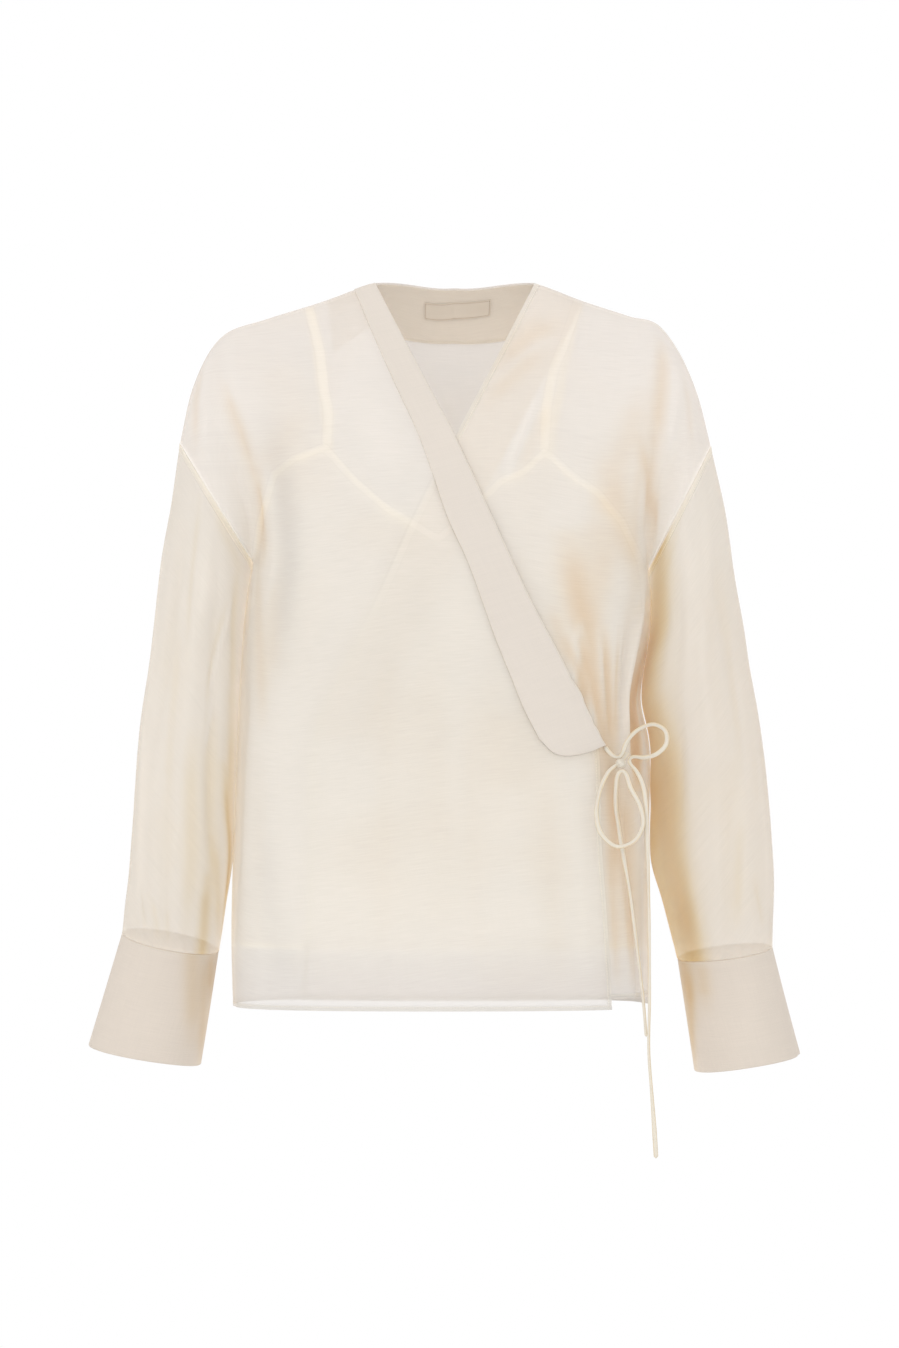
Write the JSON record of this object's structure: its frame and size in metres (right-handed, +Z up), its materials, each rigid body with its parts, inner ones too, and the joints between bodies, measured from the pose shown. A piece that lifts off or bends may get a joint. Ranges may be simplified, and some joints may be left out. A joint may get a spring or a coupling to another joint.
{
  "type": "wrap top",
  "caption": "Sheer long-sleeved wrap top, hollow in its worn shape: fronts crossed under a flared neck band, tied in a bow at the side, flared cuffs and a strappy lining.",
  "frame": {"origin": "between the two neck points, where the wearer's neck and shoulders hold it, at the height of the shoulder seams' upper ends", "axes": "+Z up the wearer, -Y out of the wearer's front, +X to the wearer's left"},
  "size_m": [0.6255, 0.2307, 0.7645],
  "materials": {
    "outer_cloth": "sheer plain weave, slightly lustrous",
    "facing_cloth": "double sheer plain weave",
    "band_cloth": "doubled cloth, topstitched",
    "cuff_cloth": "doubled cloth, topstitched",
    "lining_cloth": "soft matt lining",
    "label_cloth": "bare woven tape",
    "tie_cloth": "narrow turned strip"
  },
  "bodies": {
    "root": {"back": "outer_cloth", "front_left": "outer_cloth", "front_right": "outer_cloth", "sleeve_left": "outer_cloth", "sleeve_right": "outer_cloth", "back_facing": "facing_cloth", "front_facing": "facing_cloth", "neck_band": "band_cloth", "cuff_left": "cuff_cloth", "cuff_right": "cuff_cloth", "lining": "lining_cloth", "strap_back_left": "lining_cloth", "strap_back_right": "lining_cloth", "strap_front_left": "lining_cloth", "strap_front_right": "lining_cloth", "label": "label_cloth", "bow_knot": "tie_cloth", "tie_a_lead": "tie_cloth", "tie_a_loop": "tie_cloth", "tie_a_tail": "tie_cloth", "tie_b_lead": "tie_cloth", "tie_b_loop": "tie_cloth", "tie_b_tail": "tie_cloth"}
  },
  "joints": []
}
